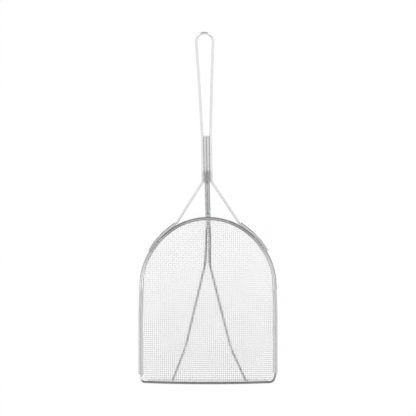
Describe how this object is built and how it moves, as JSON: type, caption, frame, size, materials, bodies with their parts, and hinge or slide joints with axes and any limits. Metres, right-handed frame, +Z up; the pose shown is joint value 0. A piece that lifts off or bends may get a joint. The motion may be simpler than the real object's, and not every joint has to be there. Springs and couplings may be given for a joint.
{
  "type": "wire mesh scoop",
  "caption": "D-shaped shallow dished mesh scoop on a wire rim with a straight front bar, two wires under the net and a bent-up hairpin handle with a hanging loop.",
  "frame": {"origin": "middle of the bounding box in x and y, on the plane it rests on (z = 0)", "axes": "x across the net, y from the front bar towards the hanging loop, z up out of the open side of the dish"},
  "size_m": [0.15, 0.3751, 0.2165],
  "materials": {
    "rim_steel": "drawn stainless wire, slightly dull",
    "band_steel": "rolled stainless strip, bright with fine marks",
    "mesh_steel": "woven stainless wire, bright",
    "wire_steel": "electropolished stainless wire",
    "under_steel": "drawn stainless wire, duller than the handle",
    "weld_steel": "heat-darkened weld metal"
  },
  "bodies": {
    "root": {"rim_wire": "rim_steel", "rim_band": "band_steel", "net_edge": "mesh_steel", "net_floor": "mesh_steel", "net_ramp": "mesh_steel", "net_corner_left": "mesh_steel", "net_corner_right": "mesh_steel", "net_side_left": "mesh_steel", "net_side_right": "mesh_steel", "net_shoulder_left": "mesh_steel", "net_shoulder_right": "mesh_steel", "net_rear_left": "mesh_steel", "net_rear_middle": "mesh_steel", "net_rear_right": "mesh_steel", "front_hem": "mesh_steel", "handle_wire": "wire_steel", "under_wire_left": "under_steel", "under_wire_right": "under_steel", "bundle_weld": "weld_steel", "foot_weld_left": "weld_steel", "foot_weld_right": "weld_steel", "rear_weld": "weld_steel", "front_weld_left": "weld_steel", "front_weld_right": "weld_steel"}
  },
  "joints": []
}
